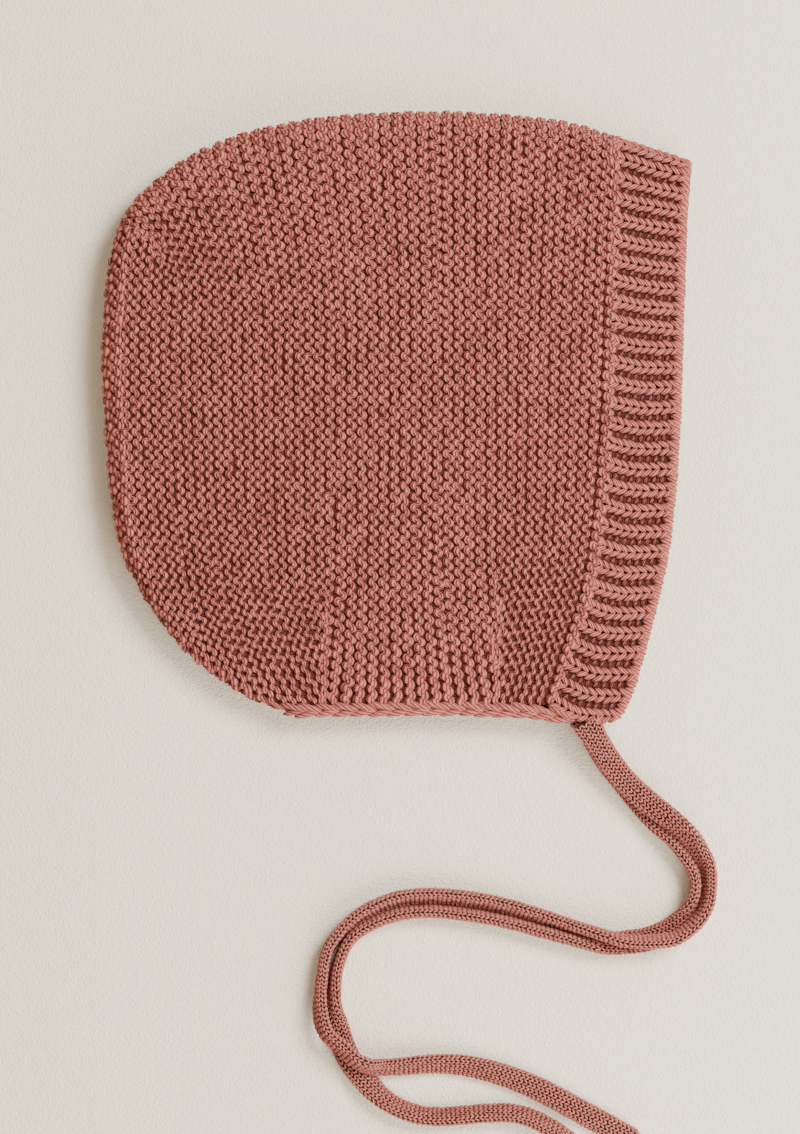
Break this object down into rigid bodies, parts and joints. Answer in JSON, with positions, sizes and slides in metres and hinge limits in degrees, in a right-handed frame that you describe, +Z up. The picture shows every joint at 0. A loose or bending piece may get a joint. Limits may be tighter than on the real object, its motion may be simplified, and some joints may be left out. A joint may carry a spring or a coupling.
{
  "type": "baby bonnet",
  "caption": "Knitted baby bonnet lying folded on its side: garter-stitch crown, ribbed band round the face, chain edging at the neck and flat knitted ties laid in loose bends.",
  "frame": {"origin": "on the surface that the bonnet lies on, below the middle of the folded bonnet without its ties", "axes": "+X from the back of the head to the face, +Y from the neck to the top of the crown, +Z up through the folded layers, from the far side to the near side"},
  "size_m": [0.172, 0.2929, 0.015],
  "materials": {
    "garter_knit": "dusty rose wool in garter stitch",
    "rib_knit": "dusty rose wool in one-by-one rib",
    "edge_knit": "dusty rose wool in a chain edge",
    "tie_knit": "dusty rose wool in fine stocking stitch"
  },
  "bodies": {
    "root": {"crown": "garter_knit", "face_rib": "rib_knit", "neck_edge": "edge_knit", "tie_near": "tie_knit", "tie_far": "tie_knit"}
  },
  "joints": []
}
